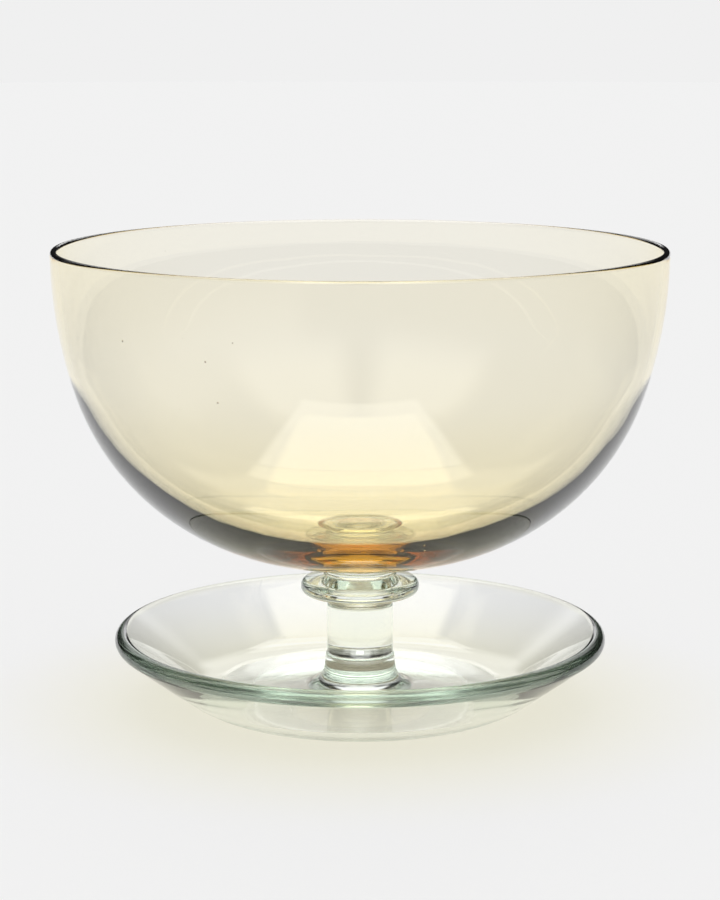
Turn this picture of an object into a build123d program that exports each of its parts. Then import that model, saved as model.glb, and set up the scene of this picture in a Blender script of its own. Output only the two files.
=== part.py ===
from build123d import *
import os
from math import acos, cos, degrees, radians, sin, sqrt, tan

# A footed glass bowl, worked hot and joined from four pieces of glass on one upright axis:
# a dish-shaped foot with a post in its middle, a short solid stem, a flat collar and a
# deep bowl.  Millimetres, +Z up, origin on the axis in the plane the foot stands on.

# Overall sizes
bowl_diameter = 200.0        # widest ring of the bowl, just under its lip
bowl_depth = 104.7           # lip top to the lowest point of the bowl's outer curve
foot_diameter = 162.8        # widest ring of the foot's lip
post_height = 16.5           # standing plane to the top of the foot's post
stem_length = 16.9           # top of the post to the underside of the collar
collar_height = 14.54        # underside to top of the collar

# Bowl: each side is three tangent arcs, a long one under the lip, a tighter belly and a
# flat one across the bottom.  The long and flat radii follow from width and depth.
lip_width = 2.3              # wall at the lip, which is rounded over to a half circle
bowl_bottom = 6.7            # glass on the axis, outer curve to inner curve
belly_radius = 81.8          # outer belly arc
belly_start = 17.9           # degrees of turn in the outer curve above its belly arc
belly_end = 78.2             # degrees of turn at the outer belly arc's lower end
belly_inset = 4.6            # how much tighter the inner belly arc is
inner_start = 13.0           # the same two turns on the inner curve
inner_end = 79.8

# Collar
collar_diameter = 39.2
collar_edge = 4.1            # height of its rounded edge band
collar_rise = 3.9            # underside of the collar to the bottom of the edge band
collar_slope = 14.0          # degrees of its upper and lower faces
collar_round = 2.3           # rounding of the edge band
collar_neck_diameter = 22.6  # narrowest ring of the upper neck, which flares out to the bowl
collar_neck_round = 1.2      # hollow between the upper face and the upper neck

# Stem and joints
stem_diameter = 21.9
seam_round = 0.8             # softened edges that leave a shallow groove at a hot joint
bowl_joint_diameter = 29.4   # flat disc where the collar is joined to the bowl
neck_margin = 0.1            # how much wider the collar's lower neck is than the stem

# Foot
base_ring_diameter = 90.0    # outer edge of the flat ring that the foot stands on
base_ring_width = 6.6
kick_height = 1.6            # rise of the shallow hollow inside the base ring
heel_radius = 25.1           # outer arc between the base ring and the flared wall
flare_angle = 36.85          # degrees of the flared wall above the level
foot_wall = 5.6              # foot's glass, with a half circle over its lip
post_top_margin = 0.4        # how much wider the post's top is than the stem
post_taper = 1.1             # extra radius of the post where its fillet starts
post_fillet = 7.0            # hollow between the post and the floor of the foot

# Heights of the joints above the standing plane
stem_top = post_height + stem_length
collar_top = stem_top + collar_height
bowl_joint_radius = bowl_joint_diameter / 2
stem_radius = stem_diameter / 2


def side_curve(radius, depth, belly, start, end):
    """Three tangent arcs from the widest ring, where z is 0, down to the axis at -depth.

    Returns a function from a turn in degrees, 0 at the ring and 90 on the axis, to (r, z).
    """
    a, b = radians(start), radians(end)
    # the outermost and lowest radii that close the curve on the given width and depth
    r_gap, z_gap = radius - belly, depth - belly
    det = (1 - cos(a)) * (1 - sin(b)) - cos(b) * sin(a)
    long_radius = belly + (r_gap * (1 - sin(b)) - z_gap * cos(b)) / det
    flat_radius = belly + (z_gap * (1 - cos(a)) - r_gap * sin(a)) / det
    belly_r = radius - long_radius + (long_radius - belly) * cos(a)
    belly_z = -(long_radius - belly) * sin(a)

    def point(turn):
        t = radians(turn)
        if turn <= start:
            return (radius - long_radius * (1 - cos(t)), -long_radius * sin(t))
        if turn <= end:
            return (belly_r + belly * cos(t), belly_z - belly * sin(t))
        return (flat_radius * cos(t), flat_radius * (1 - sin(t)) - depth)

    point.flat_radius = flat_radius
    return point


def arcs_along(point, turns, lift):
    """Arcs through a side curve's points at the given turns, moved up by lift."""
    def at(turn):
        r, z = point(turn)
        return (r, z + lift)
    pairs = zip(turns[:-1], turns[1:])
    return [ThreePointArc(at(t0), at((t0 + t1) / 2), at(t1)) for t0, t1 in pairs]


def turned(*edges):
    """Revolve a half section, drawn with X as the radius and Y as the height."""
    face = make_face(Curve() + list(edges))
    return revolve(Plane.XZ * face, Axis.Z)


def bowl_curves():
    """The bowl's outer and inner side curves, each measured from its own widest ring."""
    lip = lip_width / 2
    outer = side_curve(bowl_diameter / 2, bowl_depth - lip, belly_radius, belly_start, belly_end)
    inner = side_curve(
        bowl_diameter / 2 - lip_width,
        bowl_depth - lip - bowl_bottom,
        belly_radius - belly_inset,
        inner_start,
        inner_end,
    )
    return outer, inner


def make_bowl():
    """Deep bowl with a rounded lip, thin at the top and thick across the bottom."""
    outer, inner = bowl_curves()
    # the turn at which the outer bottom arc reaches the joint disc
    joint_turn = degrees(acos(bowl_joint_radius / outer.flat_radius))
    ring_z = collar_top - outer(joint_turn)[1]
    ring_r = bowl_diameter / 2
    lip = lip_width / 2
    axis_z = ring_z + inner(90)[1]
    return turned(
        *arcs_along(outer, [0, belly_start, belly_end, joint_turn], ring_z),
        Line((bowl_joint_radius, collar_top), (0, collar_top)),
        Line((0, collar_top), (0, axis_z)),
        *arcs_along(inner, [90, inner_end, inner_start, 0], ring_z),
        ThreePointArc((ring_r - lip_width, ring_z), (ring_r - lip, ring_z + lip), (ring_r, ring_z)),
    )


def make_collar():
    """Flat round collar with a rounded edge, over a short neck and under a flared one."""
    neck = stem_radius + neck_margin
    edge = collar_diameter / 2
    upper_neck = collar_neck_diameter / 2
    flare = bowl_joint_radius - upper_neck
    drop = tan(radians(collar_slope))
    band_low = stem_top + collar_rise
    band_high = band_low + collar_edge
    low_corner = (neck, band_low - (edge - neck) * drop)
    high_corner = (upper_neck, band_high + (edge - upper_neck) * drop)
    flare_start = (upper_neck, collar_top - flare)
    half_way = flare * (1 - cos(radians(45)))
    flare_middle = (upper_neck + half_way, collar_top - half_way)
    joint_edge = (bowl_joint_radius, collar_top)
    face = make_face(
        Curve()
        + [
            Line((0, stem_top), (neck, stem_top)),
            Line((neck, stem_top), low_corner),
            Line(low_corner, (edge, band_low)),
            Line((edge, band_low), (edge, band_high)),
            Line((edge, band_high), high_corner),
            Line(high_corner, flare_start),
            ThreePointArc(flare_start, flare_middle, joint_edge),
            Line(joint_edge, (0, collar_top)),
            Line((0, collar_top), (0, stem_top)),
        ]
    )
    face = fillet(vertices_at(face, (edge, band_low), (edge, band_high)), collar_round)
    face = fillet(vertices_at(face, high_corner), collar_neck_round)
    face = fillet(vertices_at(face, (neck, stem_top)), seam_round)
    return revolve(Plane.XZ * face, Axis.Z)


def vertices_at(face, *points):
    """The corners of a face that lie on the given points."""
    return [min(face.vertices(), key=lambda v: (v.center() - Vector(*p)).length) for p in points]


def make_stem():
    """Short solid stem, its ends softened by the hot joints."""
    low_edge = (stem_radius, post_height)
    high_edge = (stem_radius, stem_top)
    face = make_face(Polyline((0, post_height), low_edge, high_edge, (0, stem_top), close=True))
    face = fillet(vertices_at(face, low_edge, high_edge), seam_round)
    return revolve(Plane.XZ * face, Axis.Z)


def make_foot():
    """Dish on a flat base ring, with a flared wall, a rounded lip and a post in its middle."""
    ring = base_ring_diameter / 2
    flare = radians(flare_angle)
    lip = foot_wall / 2
    inner_heel = heel_radius - foot_wall

    def on_heel(radius, angle):
        return (ring + radius * sin(angle), heel_radius - radius * cos(angle))

    heel_end = on_heel(heel_radius, flare)
    inner_heel_end = on_heel(inner_heel, flare)
    lip_r = foot_diameter / 2 - lip
    mid_r, mid_z = on_heel(heel_radius - lip, flare)
    lip_z = mid_z + (lip_r - mid_r) * tan(flare)
    lip_low = (lip_r + lip * sin(flare), lip_z - lip * cos(flare))
    lip_tip = (lip_r + lip * cos(flare), lip_z + lip * sin(flare))
    lip_high = (lip_r - lip * sin(flare), lip_z + lip * cos(flare))

    post_top = stem_radius + post_top_margin
    post_foot = post_top + post_taper
    bore_ring = ring - base_ring_width
    kick_radius = (bore_ring**2 + kick_height**2) / (2 * kick_height)
    kick_mid_r = bore_ring / 2
    kick_mid_z = kick_height - kick_radius + sqrt(kick_radius**2 - kick_mid_r**2)

    face = make_face(
        Curve()
        + [
            Line((bore_ring, 0), (ring, 0)),
            ThreePointArc((ring, 0), on_heel(heel_radius, flare / 2), heel_end),
            Line(heel_end, lip_low),
            ThreePointArc(lip_low, lip_tip, lip_high),
            Line(lip_high, inner_heel_end),
            ThreePointArc(inner_heel_end, on_heel(inner_heel, flare / 2), (ring, foot_wall)),
            Line((ring, foot_wall), (post_foot, foot_wall)),
            Line((post_foot, foot_wall), (post_top, post_height)),
            Line((post_top, post_height), (0, post_height)),
            Line((0, post_height), (0, kick_height)),
            ThreePointArc((0, kick_height), (kick_mid_r, kick_mid_z), (bore_ring, 0)),
        ]
    )
    face = fillet(vertices_at(face, (post_foot, foot_wall)), post_fillet)
    face = fillet(vertices_at(face, (post_top, post_height)), seam_round)
    return revolve(Plane.XZ * face, Axis.Z)


pieces = {
    "bowl": make_bowl(),
    "collar": make_collar(),
    "stem": make_stem(),
    "foot": make_foot(),
}

os.makedirs("parts", exist_ok=True)
for name, piece in pieces.items():
    piece.label = name
    export_step(piece, f"parts/{name}.step")
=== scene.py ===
from math import acos, atan2, cos, pi, radians, sin, tan

import bmesh
import bpy
from bpy.props import FloatProperty, FloatVectorProperty, IntProperty, PointerProperty
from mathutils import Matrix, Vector


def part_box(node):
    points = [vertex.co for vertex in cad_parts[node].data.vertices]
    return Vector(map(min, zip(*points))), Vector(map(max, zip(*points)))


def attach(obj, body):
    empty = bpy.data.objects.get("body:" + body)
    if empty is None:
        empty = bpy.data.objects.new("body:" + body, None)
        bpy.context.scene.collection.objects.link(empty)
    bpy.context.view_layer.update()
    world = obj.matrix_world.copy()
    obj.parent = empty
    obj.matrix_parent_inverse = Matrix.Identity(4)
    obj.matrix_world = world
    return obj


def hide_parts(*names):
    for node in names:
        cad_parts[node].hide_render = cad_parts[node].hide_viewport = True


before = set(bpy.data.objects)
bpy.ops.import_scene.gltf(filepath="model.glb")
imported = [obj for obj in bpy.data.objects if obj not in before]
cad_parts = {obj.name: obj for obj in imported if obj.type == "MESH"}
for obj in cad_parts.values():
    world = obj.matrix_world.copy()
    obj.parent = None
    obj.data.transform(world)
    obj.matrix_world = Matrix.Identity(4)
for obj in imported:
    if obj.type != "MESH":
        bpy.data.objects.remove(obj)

bl_info = {
    "name": "Footed glass bowl",
    "version": (1, 0, 0),
    "blender": (4, 5, 0),
    "location": "View3D > Sidebar > Glass bowl",
    "description": "Makes a footed bowl of amber and clear blown glass, and the set it stands on",
    "category": "Object",
}

MM = 0.001


# ---------------------------------------------------------------- sizes taken from the frame


def widest(node):
    """Half the width of a node that is turned about the upright axis."""
    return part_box(node)[1].x


def lowest(node):
    """Height of a node's lowest point."""
    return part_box(node)[0].z


def highest(node):
    """Height of a node's highest point."""
    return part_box(node)[1].z


# ---------------------------------------------------------------- node trees


class Wire:
    """A socket in an expression. An operator on it adds the node that works the value out."""

    def __init__(self, graph, socket):
        self.graph = graph
        self.socket = socket

    def math(self, operation, *values):
        """A Math node of these values, which may be other sockets or plain numbers."""
        node = self.graph.node("ShaderNodeMath", {"operation": operation}, dict(enumerate(values)))
        return self.graph.out(node)

    def __add__(self, other):
        return self.math("ADD", self, other)

    def __radd__(self, other):
        return self.math("ADD", other, self)

    def __sub__(self, other):
        return self.math("SUBTRACT", self, other)

    def __rsub__(self, other):
        return self.math("SUBTRACT", other, self)

    def __mul__(self, other):
        return self.math("MULTIPLY", self, other)

    def __truediv__(self, other):
        return self.math("DIVIDE", self, other)

    def __pow__(self, other):
        return self.math("POWER", self, other)

    def __gt__(self, other):
        return self.math("GREATER_THAN", self, other)

    def __lt__(self, other):
        return self.math("LESS_THAN", self, other)

    def call(self, operation):
        """A Math node of one value, such as COSINE or ROUND."""
        return self.math(operation, self)

    def ramp(self, low, high):
        """0 below low and 1 above high, with a smooth step between."""
        node = self.graph.node(
            "ShaderNodeMapRange",
            {"interpolation_type": "SMOOTHSTEP"},
            {"Value": self, "From Min": low, "From Max": high},
        )
        return self.graph.out(node)


class Graph:
    """A shader or geometry node tree that is built by expressions."""

    def __init__(self, tree):
        self.tree = tree

    def node(self, kind, settings=None, sockets=None):
        """Adds a node, sets its own settings first, then the values or links of its sockets."""
        node = self.tree.nodes.new(kind)
        for name, value in (settings or {}).items():
            setattr(node, name, value)
        for name, value in (sockets or {}).items():
            if isinstance(value, Wire):
                self.tree.links.new(value.socket, node.inputs[name])
            else:
                node.inputs[name].default_value = value
        return node

    def out(self, node, name=0):
        """An output of a node, by its name or its place, for use in an expression."""
        return Wire(self, node.outputs[name])

    def join(self, wire, node, name):
        """Links an expression to an input of a node."""
        self.tree.links.new(wire.socket, node.inputs[name])


def fresh_graph(owner):
    """The emptied node tree of a material or world."""
    owner.use_nodes = True
    owner.node_tree.nodes.clear()
    return Graph(owner.node_tree)


# ---------------------------------------------------------------- outlines
# An outline is a half section, a list of (radius, height) points.

ARC_STEP = radians(4)        # turn between two points of a tight arc
LONGEST_STEP = 2.2 * MM      # longest run between two points of a wide arc
WALL_TOP = 2                 # points left out under the lip where seeds are scattered
WALL_BOTTOM = 4              # points left out at the axis there


def arc(centre, radius, start, end):
    """Points of an arc between two angles, its two ends included."""
    turn = end - start
    count = max(2, round(abs(turn) / ARC_STEP), round(abs(turn) * radius / LONGEST_STEP))
    steps = [start + turn * i / count for i in range(count + 1)]
    return [Vector((centre[0] + radius * cos(a), centre[1] + radius * sin(a))) for a in steps]


def rounded(corners):
    """A run of straight lines through (r, z, rounding) corners, each rounded by its own arc."""
    points = []
    for i, (r, z, rounding) in enumerate(corners):
        at = Vector((r, z))
        if not rounding:
            points.append(at)
            continue
        before = (Vector(corners[i - 1][:2]) - at).normalized()
        after = (Vector(corners[i + 1][:2]) - at).normalized()
        half = before.angle(after) / 2
        centre = at + (before + after).normalized() * (rounding / sin(half))
        first = at + before * (rounding / tan(half)) - centre
        last = at + after * (rounding / tan(half)) - centre
        start = atan2(first.y, first.x)
        turn = (atan2(last.y, last.x) - start + pi) % (2 * pi) - pi
        points += arc(centre, rounding, start, start + turn)
    return points


def side_curve(radius, depth, belly, start, end):
    """Centres, radii and turns of the three arcs of a bowl's side.

    The arcs run from the widest ring, at height 0, down to the axis at -depth. The belly arc is
    given, and the long arc above it and the flat one below it follow from the width and depth.
    """
    r_gap, z_gap = radius - belly, depth - belly
    det = (1 - cos(start)) * (1 - sin(end)) - cos(end) * sin(start)
    long = belly + (r_gap * (1 - sin(end)) - z_gap * cos(end)) / det
    flat = belly + (z_gap * (1 - cos(start)) - r_gap * sin(start)) / det
    belly_centre = (radius - long + (long - belly) * cos(start), -(long - belly) * sin(start))
    return [
        ((radius - long, 0), long, 0, start),
        (belly_centre, belly, start, end),
        ((0, flat - depth), flat, end, pi / 2),
    ]


def follow(arcs, lift, stop=None):
    """Points down a side curve, raised by lift, as far as the turn at which it stops."""
    points = []
    for (r, z), radius, start, end in arcs:
        end = end if stop is None else min(end, stop)
        points += arc((r, z + lift), radius, -start, -end)
    return points


def bowl_outline(size):
    """Half section of the bowl, from the axis under it, out over the lip and back to the axis."""
    lip = size.lip_width / 2
    radius, top, joint = widest("bowl"), highest("bowl") - lip, size.bowl_joint
    outer = side_curve(radius, size.bowl_depth - lip, size.belly, size.belly_start, size.belly_end)
    inner = side_curve(
        radius - 2 * lip,
        size.bowl_depth - lip - size.bowl_bottom,
        size.belly - size.belly_inset,
        size.inner_start,
        size.inner_end,
    )
    joint_turn = acos(joint / outer[2][1])
    joint_z = lowest("bowl")
    underside = rounded([(0, joint_z, 0), (joint, joint_z, 0)])
    side = list(reversed(follow(outer, top, joint_turn)))
    over = arc((radius - lip, top), lip, 0, pi)
    return underside + side[1:] + over[1:] + follow(inner, top)[1:]


def wall_middle(size):
    """Line half way through the bowl's wall, from a little under the lip to near the bottom."""
    lip = size.lip_width / 2
    sides = side_curve(
        widest("bowl") - lip,
        size.bowl_depth - lip - size.bowl_bottom / 2,
        size.belly - size.belly_inset / 2,
        (size.belly_start + size.inner_start) / 2,
        (size.belly_end + size.inner_end) / 2,
    )
    points = follow(sides, highest("bowl") - lip)
    return points[WALL_TOP:-WALL_BOTTOM]


def collar_outline(size):
    """Half section of the collar, from the axis under it out and back to the axis above it."""
    neck, upper_neck = widest("stem") + size.neck_margin, size.collar_neck
    edge, flare = widest("collar"), size.bowl_joint - upper_neck
    low, high = lowest("collar"), highest("collar")
    band_low = low + size.collar_rise
    band_high = band_low + size.collar_edge
    slope = tan(size.collar_slope)
    side = rounded([
        (0, low, 0),
        (neck, low, size.seam),
        (neck, band_low - (edge - neck) * slope, size.collar_hollow),
        (edge, band_low, size.collar_round),
        (edge, band_high, size.collar_round),
        (upper_neck, band_high + (edge - upper_neck) * slope, size.collar_hollow),
        (upper_neck, high - flare, 0),
    ])
    top = high + size.overlap
    flared = arc((size.bowl_joint, high - flare), flare, pi, pi / 2)
    return side + flared[1:] + [Vector((size.bowl_joint, top)), Vector((0, top))]


def stem_outline(size):
    """Half section of the stem, with the softened edges of its two seams."""
    radius, low, high = widest("stem"), lowest("stem"), highest("stem") + size.overlap
    return rounded([(0, low, 0), (radius, low, size.seam), (radius, high, size.seam), (0, high, 0)])


def foot_outline(size):
    """Half section of the foot, from the axis under it, out over the lip and in to the post."""
    top, flare, wall = lowest("stem") + size.overlap, size.flare, size.foot_wall
    ring, heel = size.base_ring, size.heel
    hollow = ring - size.base_ring_width
    kick_radius = (hollow**2 + size.kick**2) / (2 * size.kick)
    kick_turn = atan2(hollow, kick_radius - size.kick)
    under = arc((0, size.kick - kick_radius), kick_radius, pi / 2, pi / 2 - kick_turn)
    along, across = Vector((cos(flare), sin(flare))), Vector((sin(flare), -cos(flare)))
    middle = Vector((ring + (heel - wall / 2) * sin(flare), heel - (heel - wall / 2) * cos(flare)))
    lip = middle + along * ((widest("foot") - wall / 2 - middle.x) / cos(flare))
    tip = lip + along * (wall / 2)
    post = widest("stem") + size.post_margin
    inner_heel = heel - wall
    return under + rounded([
        (hollow, 0, 0),
        (ring + heel * tan(flare / 2), 0, heel),
        (*(tip + across * (wall / 2)), wall / 2),
        (*(tip - across * (wall / 2)), wall / 2),
        (ring + inner_heel * tan(flare / 2), wall, inner_heel),
        (post + size.post_taper, wall, size.post_fillet),
        (post, top, size.seam),
        (0, top, 0),
    ])[1:]


# ---------------------------------------------------------------- geometry nodes


SAME_POINT = 0.002 * MM      # points closer than this are merged where a turned shape closes


def new_tree(name):
    """An empty geometry node tree that hands out one geometry."""
    tree = bpy.data.node_groups.new(name, "GeometryNodeTree")
    tree.interface.new_socket("Geometry", in_out="OUTPUT", socket_type="NodeSocketGeometry")
    return tree


def input_socket(tree, name, kind, default=None):
    """Gives the tree a named input."""
    socket = tree.interface.new_socket(name, in_out="INPUT", socket_type=kind)
    if default is not None:
        socket.default_value = default


def hand_out(graph, given, node):
    """Makes a node's geometry real, gives it the glass and hands it out of the tree."""
    real = graph.node("GeometryNodeRealizeInstances", {}, {"Geometry": graph.out(node)})
    dressed = graph.node(
        "GeometryNodeSetMaterial",
        {},
        {"Geometry": graph.out(real), "Material": graph.out(given, "Glass")},
    )
    graph.join(graph.out(dressed), graph.node("NodeGroupOutput"), "Geometry")


def turning_tree():
    """Turns an outline about the upright axis, with the gentle waves of hand work."""
    tree = new_tree("Turn about the axis")
    input_socket(tree, "Outline", "NodeSocketGeometry")
    input_socket(tree, "Steps around", "NodeSocketInt", 240)
    input_socket(tree, "Wave height", "NodeSocketFloat", 0.0)
    input_socket(tree, "Waves per metre", "NodeSocketFloat", 20.0)
    input_socket(tree, "Glass", "NodeSocketMaterial")
    graph = Graph(tree)
    given = graph.node("NodeGroupInput")
    outline = graph.out(given, "Outline")
    rows = graph.out(
        graph.node("GeometryNodeAttributeDomainSize", {"component": "MESH"}, {"Geometry": outline}),
        "Point Count",
    )
    columns = graph.out(given, "Steps around") + 1
    grid = graph.node(
        "GeometryNodeMeshGrid",
        {},
        {"Size X": 1.0, "Size Y": 1.0, "Vertices X": columns, "Vertices Y": rows},
    )
    place = graph.out(graph.node("GeometryNodeInputPosition"))
    square = graph.node("ShaderNodeSeparateXYZ", {}, {0: place})
    turn = (graph.out(square, "X") + 0.5) * (2 * pi)
    row = ((graph.out(square, "Y") + 0.5) * (rows - 1)).call("ROUND")
    sampled = graph.node(
        "GeometryNodeSampleIndex",
        {"data_type": "FLOAT_VECTOR", "domain": "POINT"},
        {"Geometry": outline, "Value": place, "Index": row},
    )
    on_outline = graph.node("ShaderNodeSeparateXYZ", {}, {0: graph.out(sampled)})
    radius = graph.out(on_outline, "X")
    spun = graph.node(
        "ShaderNodeCombineXYZ",
        {},
        {
            "X": radius * turn.call("COSINE"),
            "Y": radius * turn.call("SINE"),
            "Z": graph.out(on_outline, "Z"),
        },
    )
    shell = graph.node(
        "GeometryNodeSetPosition",
        {},
        {"Geometry": graph.out(grid, "Mesh"), "Position": graph.out(spun)},
    )
    closed = graph.node(
        "GeometryNodeMergeByDistance", {}, {"Geometry": graph.out(shell), "Distance": SAME_POINT}
    )
    noise = graph.node(
        "ShaderNodeTexNoise",
        {},
        {"Vector": place, "Scale": graph.out(given, "Waves per metre"), "Detail": 1.0},
    )
    rise = (graph.out(noise, "Fac") - 0.5) * graph.out(given, "Wave height")
    normal = graph.out(graph.node("GeometryNodeInputNormal"))
    offset = graph.node(
        "ShaderNodeVectorMath", {"operation": "SCALE"}, {0: normal, "Scale": rise}
    )
    waved = graph.node(
        "GeometryNodeSetPosition",
        {},
        {"Geometry": graph.out(closed), "Offset": graph.out(offset)},
    )
    smooth = graph.node("GeometryNodeSetShadeSmooth", {}, {"Geometry": graph.out(waved)})
    hand_out(graph, given, smooth)
    return tree


def seed_tree():
    """Small round bubbles scattered inside a wall, given the surface at the wall's middle."""
    tree = new_tree("Seeds in the wall")
    input_socket(tree, "Middle of the wall", "NodeSocketGeometry")
    input_socket(tree, "Seeds per square metre", "NodeSocketFloat", 300.0)
    input_socket(tree, "Smallest", "NodeSocketFloat", 0.1 * MM)
    input_socket(tree, "Largest", "NodeSocketFloat", 0.4 * MM)
    input_socket(tree, "Seed", "NodeSocketInt", 1)
    input_socket(tree, "Glass", "NodeSocketMaterial")
    graph = Graph(tree)
    given = graph.node("NodeGroupInput")
    seed = graph.out(given, "Seed")
    points = graph.node(
        "GeometryNodeDistributePointsOnFaces",
        {},
        {
            "Mesh": graph.out(given, "Middle of the wall"),
            "Density": graph.out(given, "Seeds per square metre"),
            "Seed": seed,
        },
    )
    chance = graph.out(
        graph.node("FunctionNodeRandomValue", {"data_type": "FLOAT"}, {"Seed": seed}), 1
    )
    small, large = graph.out(given, "Smallest"), graph.out(given, "Largest")
    # the cube makes most of them small
    radius = small + (large - small) * chance ** 3
    ball = graph.node("GeometryNodeMeshIcoSphere", {}, {"Radius": 1.0, "Subdivisions": 2})
    # the glass is outside a bubble, so its faces point to its middle
    hollow = graph.node("GeometryNodeFlipFaces", {}, {"Mesh": graph.out(ball)})
    smooth = graph.node("GeometryNodeSetShadeSmooth", {}, {"Geometry": graph.out(hollow)})
    bubbles = graph.node(
        "GeometryNodeInstanceOnPoints",
        {},
        {"Points": graph.out(points), "Instance": graph.out(smooth), "Scale": radius},
    )
    hand_out(graph, given, bubbles)
    return tree


def spun(name, outline, size, glass):
    """A mesh object of an outline turned about the axis, with its modifier applied."""
    mesh = bpy.data.meshes.new(name)
    edges = [(i, i + 1) for i in range(len(outline) - 1)]
    mesh.from_pydata([(p[0], 0, p[1]) for p in outline], edges, [])
    blank = bpy.data.objects.new(name, mesh)
    bpy.context.collection.objects.link(blank)
    tree = bpy.data.node_groups.get("Turn about the axis") or turning_tree()
    return with_tree(blank, tree, {
        "Steps around": size.steps_around,
        "Wave height": size.wave_height,
        "Waves per metre": size.waves_per_metre,
        "Glass": glass,
    })


def with_tree(blank, tree, values):
    """Runs a geometry node tree on an object and keeps the plain mesh that comes out."""
    modifier = blank.modifiers.new(tree.name, "NODES")
    modifier.node_group = tree
    for item in tree.interface.items_tree:
        if item.name in values and item.in_out == "INPUT":
            modifier[item.identifier] = values[item.name]
    evaluated = blank.evaluated_get(bpy.context.evaluated_depsgraph_get())
    made = bpy.data.meshes.new_from_object(evaluated)
    if not made.polygons:
        raise RuntimeError(f"{blank.name} came out with no faces")
    blank.modifiers.clear()
    old = blank.data
    blank.data = made
    made.name = blank.name
    bpy.data.meshes.remove(old)
    return blank


def add_to(piece, extra):
    """Puts another object's mesh into a piece's mesh, and removes that object."""
    whole = bmesh.new()
    whole.from_mesh(piece.data)
    whole.from_mesh(extra.data)
    whole.to_mesh(piece.data)
    whole.free()
    bpy.data.objects.remove(extra)


def finished(piece, node):
    """Rides the piece on the one body and shows it in place of its node."""
    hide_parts(node)
    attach(piece, "root")


# ---------------------------------------------------------------- glass


CORDS_PER_METRE = 22.0
SMEARS_PER_METRE = 60.0
GRIT_PER_METRE = 2500.0
SMEAR_START, SMEAR_FULL = 0.55, 0.8          # noise values between which a smear builds up
WORN_FULL, WORN_END = 0.05 * MM, 0.35 * MM   # heights over which the base ring's wear fades
WORN_ROUGHNESS, GRIT_ROUGHNESS = 0.25, 0.2
DENSITY_MARGIN = 1.02                        # keeps the strongest tint just above black


def per_metre(rates):
    """Colour and density of a Volume Absorption node that takes off these shares per metre."""
    density = max(rates) * DENSITY_MARGIN
    return (*[1 - rate / density for rate in rates], 1.0), density


def glass_material(name, rates, look):
    """Glass tinted by its depth, with faint cords, smears and the wear of the base ring."""
    material = bpy.data.materials.new(name)
    graph = fresh_graph(material)
    place = graph.out(graph.node("ShaderNodeTexCoord"), "Object")
    cords = graph.node(
        "ShaderNodeTexNoise",
        {},
        {
            "Vector": place,
            "Scale": CORDS_PER_METRE,
            "Detail": 2.0,
            "Roughness": 0.4,
            "Distortion": 0.6,
        },
    )
    smear = graph.node(
        "ShaderNodeTexNoise", {}, {"Vector": place, "Scale": SMEARS_PER_METRE, "Detail": 3.0}
    )
    cloud = graph.out(smear, "Fac").ramp(SMEAR_START, SMEAR_FULL)
    height = graph.out(graph.node("ShaderNodeSeparateXYZ", {}, {0: place}), "Z")
    worn = 1 - height.ramp(WORN_FULL, WORN_END)
    grit = graph.out(
        graph.node("ShaderNodeTexNoise", {}, {"Vector": place, "Scale": GRIT_PER_METRE}), "Fac"
    )
    wear = worn * (WORN_ROUGHNESS + grit * GRIT_ROUGHNESS)
    roughness = look.polish + cloud * look.smear + wear
    bump = graph.node(
        "ShaderNodeBump",
        {},
        {
            "Strength": look.cord_strength,
            "Distance": look.cord_depth,
            "Height": graph.out(cords, "Fac"),
        },
    )
    body = graph.node(
        "ShaderNodeBsdfPrincipled",
        {},
        {
            "Base Color": (1, 1, 1, 1),
            "Roughness": roughness,
            "IOR": look.ior,
            "Transmission Weight": 1.0,
            "Normal": graph.out(bump, "Normal"),
        },
    )
    colour, density = per_metre(rates)
    depth = graph.node("ShaderNodeVolumeAbsorption", {}, {"Color": colour, "Density": density})
    output = graph.node("ShaderNodeOutputMaterial")
    graph.join(graph.out(body), output, "Surface")
    graph.join(graph.out(depth), output, "Volume")
    return material


def glass(name, rates, look):
    """The glass of this name, made the first time it is asked for."""
    return bpy.data.materials.get(name) or glass_material(name, rates, look)


# ---------------------------------------------------------------- what a user would change


def length(name, about, millimetres):
    """A property for a length, given in millimetres."""
    return FloatProperty(
        name=name, description=about, default=millimetres * MM, unit="LENGTH", min=0.0, precision=5
    )


def angle(name, about, in_degrees):
    """A property for an angle, given in degrees."""
    return FloatProperty(name=name, description=about, default=radians(in_degrees), unit="ROTATION")


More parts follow.
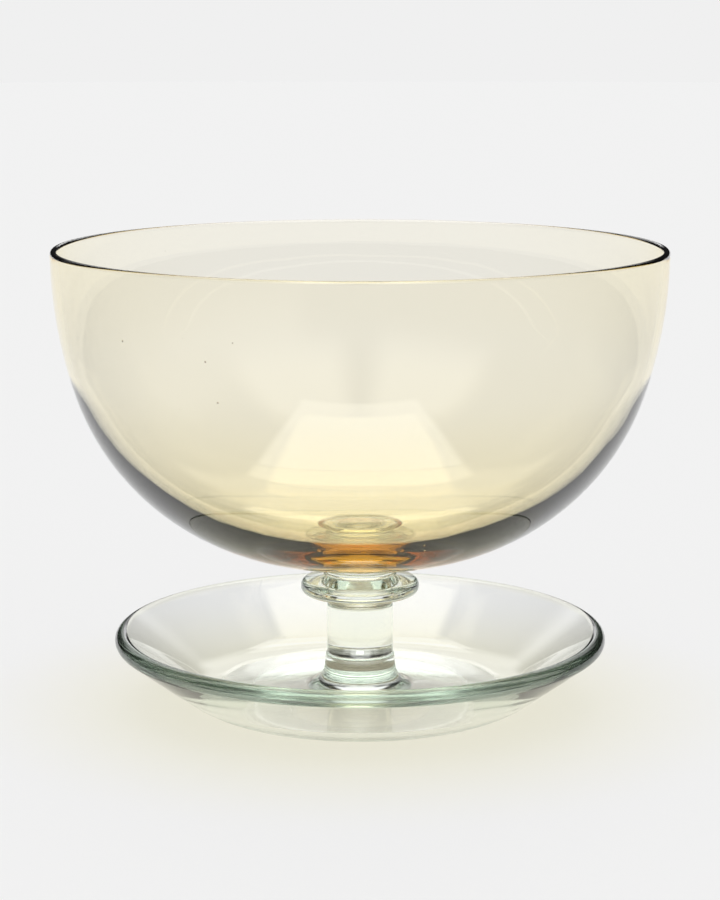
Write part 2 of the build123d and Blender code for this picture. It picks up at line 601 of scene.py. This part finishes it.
class FootedBowlSizes(bpy.types.PropertyGroup):
    """Sizes of the four pieces that their boxes in the frame don't already give."""

    bowl_depth: length("Bowl depth", "Lip top to the lowest point of the outer curve", 104.7)
    lip_width: length("Lip width", "Wall at the lip, rounded over to a half circle", 2.3)
    bowl_bottom: length("Bowl bottom", "Glass on the axis under the inside of the bowl", 6.7)
    belly: length("Belly radius", "Radius of the outer belly arc", 81.8)
    belly_inset: length("Belly inset", "How much tighter the inner belly arc is", 4.6)
    belly_start: angle("Belly start", "Turn of the outer curve above its belly arc", 17.9)
    belly_end: angle("Belly end", "Turn of the outer curve at its belly arc's lower end", 78.2)
    inner_start: angle("Inner start", "Turn of the inner curve above its belly arc", 13.0)
    inner_end: angle("Inner end", "Turn of the inner curve at its belly arc's lower end", 79.8)
    bowl_joint: length("Bowl joint", "Radius of the disc where bowl and collar are joined", 14.7)
    collar_neck: length("Collar neck", "Narrowest radius of the neck that flares to the bowl", 11.3)
    neck_margin: length("Neck margin", "How much wider the collar's lower neck is", 0.1)
    collar_rise: length("Collar rise", "Underside of the collar to its edge band", 3.9)
    collar_edge: length("Collar edge", "Height of the collar's edge band", 4.1)
    collar_slope: angle("Collar slope", "Fall of the collar's upper and lower faces", 14.0)
    collar_round: length("Collar rounding", "Rounding of the edge band", 2.3)
    collar_hollow: length("Collar hollow", "Rounding of the hollows at the collar's necks", 1.2)
    seam: length("Seam", "Softened edge at a hot joint", 0.8)
    overlap: length("Overlap", "How far a lower piece runs into the one above it", 0.1)
    base_ring: length("Base ring", "Outer radius of the ring the foot stands on", 45.0)
    base_ring_width: length("Base ring width", "Width of the ring the foot stands on", 6.6)
    kick: length("Kick", "Rise of the hollow inside the base ring", 1.6)
    heel: length("Heel", "Radius of the arc between base ring and flared wall", 25.1)
    flare: angle("Flare", "Slope of the foot's wall above the level", 36.85)
    foot_wall: length("Foot wall", "Thickness of the foot, and of its rounded lip", 5.6)
    post_margin: length("Post margin", "How much wider the post's top is than the stem", 0.4)
    post_taper: length("Post taper", "Extra radius of the post where its fillet starts", 1.1)
    post_fillet: length("Post fillet", "Hollow between the post and the foot's floor", 7.0)
    wave_height: length("Wave height", "Height of the gentle waves in the blown surface", 0.08)
    waves_per_metre: FloatProperty(
        name="Waves per metre", description="How close the waves are", default=22.0
    )
    steps_around: IntProperty(
        name="Steps around", description="Faces around the axis", default=240, min=12
    )


class FootedBowlGlass(bpy.types.PropertyGroup):
    """Colour and finish of the two glasses."""

    amber: FloatVectorProperty(
        name="Amber glass",
        description="What a metre of the amber glass takes off red, green and blue",
        default=(3.0, 13.4, 55.5),
    )
    clear: FloatVectorProperty(
        name="Clear glass",
        description="What a metre of the clear glass takes off red, green and blue",
        default=(2.6, 1.2, 2.6),
    )
    ior: FloatProperty(name="Index", description="Refractive index of both glasses", default=1.5)
    polish: FloatProperty(name="Polish", description="Roughness of the clean surface", default=0.0)
    smear: FloatProperty(name="Smear", description="Roughness that handling adds", default=0.02)
    cord_strength: FloatProperty(name="Cords", description="Strength of cords", default=0.2)
    cord_depth: length("Cord depth", "Depth of the cords in the glass", 0.3)
    seeds: FloatProperty(
        name="Seeds per square metre", description="Bubbles left in the bowl", default=500.0
    )
    seed: IntProperty(name="Seed", description="Which scatter of bubbles is used", default=3)
    smallest_seed: length("Smallest seed", "Radius of the smallest bubble", 0.10)
    largest_seed: length("Largest seed", "Radius of the largest bubble", 0.45)


class FootedBowlStage(bpy.types.PropertyGroup):
    """The set: floor, surrounding light and camera."""

    pale: FloatProperty(
        name="Surround", description="Brightness of the surround below the horizon", default=0.871
    )
    dark: FloatProperty(name="Room", description="Brightness of the dark room", default=0.02)
    softbox: FloatProperty(name="Softbox", description="Brightness of the softbox", default=2.6)
    softbox_half: FloatProperty(
        name="Softbox half width", description="Half width over height of the softbox", default=0.42
    )
    softbox_front: FloatProperty(
        name="Softbox front", description="Front edge of the softbox over its height", default=-0.55
    )
    softbox_back: FloatProperty(
        name="Softbox back", description="Back edge of the softbox over its height", default=0.95
    )
    floor_white: FloatProperty(name="Floor", description="Whiteness of the floor", default=0.12)
    floor_glow: FloatProperty(
        name="Floor glow", description="Light the floor itself adds", default=0.765
    )
    # painted amber light: the floor's glow is tinted where light through the bowl would fall
    floor_painted_amber_light: FloatVectorProperty(
        name="Floor warmth",
        description="Tint of the light that falls on the floor through the bowl",
        default=(0.98, 0.955, 0.80),
    )
    # painted shade: the floor's glow is darkened under the foot's post
    floor_shade: FloatVectorProperty(
        name="Floor shade",
        description="Share of the light that gets through the post to the floor below it",
        default=(0.32, 0.29, 0.20),
    )
    floor_radius: length("Floor radius", "Radius of the floor disc", 6000.0)
    floor_gap: length("Floor gap", "How far the floor lies under the base ring", 0.05)
    eye_distance: length("Eye distance", "Camera to the bowl's axis", 802.45)
    eye_height: length("Eye height", "Camera above the bowl's lip", 80.4)
    eye_tilt: angle("Eye tilt", "How far the camera looks down", 10.414)
    lens: FloatProperty(name="Lens", description="Focal length in millimetres", default=99.13)


# ---------------------------------------------------------------- operators


class FOOTEDBOWL_OT_bowl(bpy.types.Operator):
    """Make the amber bowl, with the small seeds in its wall"""

    bl_idname = "footedbowl.bowl"
    bl_label = "Amber bowl"

    def execute(self, context):
        size, look = context.scene.footedbowl_sizes, context.scene.footedbowl_glass
        amber = glass("amber glass", look.amber, look)
        bowl = spun("amber_bowl", bowl_outline(size), size, amber)
        seeds = with_tree(spun("seeds", wall_middle(size), size, amber), seed_tree(), {
            "Seeds per square metre": look.seeds,
            "Smallest": look.smallest_seed,
            "Largest": look.largest_seed,
            "Seed": look.seed,
            "Glass": amber,
        })
        add_to(bowl, seeds)
        finished(bowl, "bowl")
        return {"FINISHED"}


def make_clear(context, node, outline):
    """Makes one piece of the clear glass, in place of its node."""
    size, look = context.scene.footedbowl_sizes, context.scene.footedbowl_glass
    clear = glass("clear glass", look.clear, look)
    finished(spun(f"clear_{node}", outline(size), size, clear), node)


class FOOTEDBOWL_OT_collar(bpy.types.Operator):
    """Make the clear collar under the bowl"""

    bl_idname = "footedbowl.collar"
    bl_label = "Clear collar"

    def execute(self, context):
        make_clear(context, "collar", collar_outline)
        return {"FINISHED"}


class FOOTEDBOWL_OT_stem(bpy.types.Operator):
    """Make the short clear stem"""

    bl_idname = "footedbowl.stem"
    bl_label = "Clear stem"

    def execute(self, context):
        make_clear(context, "stem", stem_outline)
        return {"FINISHED"}


class FOOTEDBOWL_OT_foot(bpy.types.Operator):
    """Make the clear dish-shaped foot with its post"""

    bl_idname = "footedbowl.foot"
    bl_label = "Clear foot"

    def execute(self, context):
        make_clear(context, "foot", foot_outline)
        return {"FINISHED"}


# ---------------------------------------------------------------- the set

# Pale cards of the set, seen from the object: left and right edge, lower and upper edge and
# softness of the edges in degrees (0 degrees is away from the camera), and brightness.
CARDS = (
    (-28.0, 24.0, 21.0, 62.0, 5.0, 1.15),
    (-13.0, 11.0, 13.5, 26.0, 3.0, 0.95),
    (-10.0, 7.5, 8.8, 14.0, 1.5, 0.65),
    (-4.6, 4.6, 11.0, 15.5, 0.4, 1.90),
    (-75.0, -34.0, 11.0, 17.0, 3.0, 0.22),
    (65.0, 155.0, 12.0, 40.0, 8.0, 0.50),
    (-172.0, -118.0, 26.0, 66.0, 9.0, 1.20),
    (118.0, 172.0, 26.0, 66.0, 9.0, 1.20),
)
SOFTBOX_EDGE = 0.03          # softness of the softbox's edges over its height
LOWEST_RISE = 0.001          # keeps the softbox's sums finite at the horizon
PAINTED_AMBER_FULL, PAINTED_AMBER_END = 0.5, 1.4     # shares of the bowl's radius over which the painted amber light fades
SHADE_FULL, SHADE_END = 0.2, 0.62  # shares of the foot's radius over which the painted shade fades
FLOOR_SIDES = 96


def floor_material(stage):
    """Pale table top that glows, with painted amber light round the bowl and painted shade under
    the foot's post.
    """
    material = bpy.data.materials.new("pale floor")
    graph = fresh_graph(material)
    place = graph.out(graph.node("ShaderNodeTexCoord"), "Object")
    out = graph.out(
        graph.node("ShaderNodeVectorMath", {"operation": "LENGTH"}, {0: place}), "Value"
    )
    glow = (1, 1, 1, 1)
    # the floor's glow gets painted amber light round the bowl, then painted shade under the foot's
    # post
    for tint, inner, outer in (
        (stage.floor_painted_amber_light, PAINTED_AMBER_FULL * widest("bowl"), PAINTED_AMBER_END * widest("bowl")),
        (stage.floor_shade, SHADE_FULL * widest("foot"), SHADE_END * widest("foot")),
    ):
        mix = graph.node(
            "ShaderNodeMix",
            {"data_type": "RGBA"},
            {"Factor": 1 - out.ramp(inner, outer), 6: glow, 7: (*tint, 1)},
        )
        glow = graph.out(mix, 2)
    body = graph.node(
        "ShaderNodeBsdfPrincipled",
        {},
        {
            "Base Color": (stage.floor_white, stage.floor_white, stage.floor_white, 1),
            "Roughness": 1.0,
            "Specular IOR Level": 0.0,
            "Emission Color": glow,
            "Emission Strength": stage.floor_glow,
        },
    )
    graph.join(graph.out(body), graph.node("ShaderNodeOutputMaterial"), "Surface")
    return material


def studio_world(stage):
    """A dark room with pale cards round the set and one wide softbox overhead.

    Below the horizon it is as pale as the floor, so the floor's far edge doesn't show.
    """
    world = bpy.data.worlds.new("studio")
    bpy.context.scene.world = world
    graph = fresh_graph(world)
    towards = graph.node(
        "ShaderNodeSeparateXYZ", {}, {0: graph.out(graph.node("ShaderNodeTexCoord"), "Generated")}
    )
    x, y, z = [graph.out(towards, name) for name in "XYZ"]
    around, rise = x.math("ARCTAN2", x, y), z.call("ARCSINE")
    strength = stage.dark
    for left, right, low, high, soft, level in CARDS:
        card = window(around, radians(left), radians(right), radians(soft)) * window(
            rise, radians(low), radians(high), radians(soft)
        )
        strength = card * (level - strength) + strength
    over = z.math("MAXIMUM", z, LOWEST_RISE)
    half = stage.softbox_half
    box = window(x / over, -half, half, SOFTBOX_EDGE) * window(
        y / over, stage.softbox_front, stage.softbox_back, SOFTBOX_EDGE
    )
    strength = box * (z > 0) * (stage.softbox - strength) + strength
    strength = (z < 0) * (stage.pale - strength) + strength
    light = graph.node("ShaderNodeBackground", {}, {"Color": (1, 1, 1, 1), "Strength": strength})
    graph.join(graph.out(light), graph.node("ShaderNodeOutputWorld"), "Surface")


def window(value, low, high, soft):
    """1 between low and high and 0 outside, with soft edges."""
    return value.ramp(low - soft, low + soft) * (1 - value.ramp(high - soft, high + soft))


class FOOTEDBOWL_OT_stage(bpy.types.Operator):
    """Make the pale floor, the studio light and the camera"""

    bl_idname = "footedbowl.stage"
    bl_label = "Stage"

    def execute(self, context):
        scene = context.scene
        stage = scene.footedbowl_stage
        mesh = bpy.data.meshes.new("floor")
        disc = bmesh.new()
        bmesh.ops.create_circle(
            disc, cap_ends=True, segments=FLOOR_SIDES, radius=stage.floor_radius
        )
        bmesh.ops.translate(disc, verts=disc.verts, vec=(0, 0, -stage.floor_gap))
        disc.to_mesh(mesh)
        disc.free()
        mesh.materials.append(floor_material(stage))
        floor = bpy.data.objects.new("floor", mesh)
        context.collection.objects.link(floor)
        studio_world(stage)
        eye = bpy.data.cameras.new("eye")
        eye.lens = stage.lens
        camera = bpy.data.objects.new("eye", eye)
        context.collection.objects.link(camera)
        camera.location = (0, -stage.eye_distance, highest("bowl") + stage.eye_height)
        camera.rotation_euler = (pi / 2 - stage.eye_tilt, 0, 0)
        scene.camera = camera
        scene.view_settings.view_transform = "Standard"
        # light crosses many glass surfaces on its way out of the bowl and foot
        scene.cycles.max_bounces = 32
        scene.cycles.transmission_bounces = 32
        scene.cycles.glossy_bounces = 16
        scene.cycles.diffuse_bounces = 4
        scene.cycles.use_denoising = True
        return {"FINISHED"}


class FOOTEDBOWL_PT_panel(bpy.types.Panel):
    """Lists the pieces of the footed bowl"""

    bl_idname = "FOOTEDBOWL_PT_panel"
    bl_label = "Footed glass bowl"
    bl_space_type = "VIEW_3D"
    bl_region_type = "UI"
    bl_category = "Glass bowl"

    def draw(self, context):
        for operator in OPERATORS:
            self.layout.operator(operator.bl_idname)


OPERATORS = (
    FOOTEDBOWL_OT_bowl,
    FOOTEDBOWL_OT_collar,
    FOOTEDBOWL_OT_stem,
    FOOTEDBOWL_OT_foot,
    FOOTEDBOWL_OT_stage,
)
GROUPS = {
    "footedbowl_sizes": FootedBowlSizes,
    "footedbowl_glass": FootedBowlGlass,
    "footedbowl_stage": FootedBowlStage,
}


def register():
    for made in (*GROUPS.values(), *OPERATORS, FOOTEDBOWL_PT_panel):
        bpy.utils.register_class(made)
    for name, group in GROUPS.items():
        setattr(bpy.types.Scene, name, PointerProperty(type=group))


def unregister():
    for name in GROUPS:
        delattr(bpy.types.Scene, name)
    for made in reversed((*GROUPS.values(), *OPERATORS, FOOTEDBOWL_PT_panel)):
        bpy.utils.unregister_class(made)


def main():
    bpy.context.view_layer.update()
    register()
    bpy.ops.footedbowl.stage()
    bpy.ops.footedbowl.bowl()
    bpy.ops.footedbowl.collar()
    bpy.ops.footedbowl.stem()
    bpy.ops.footedbowl.foot()


if __name__ == "__main__":
    main()
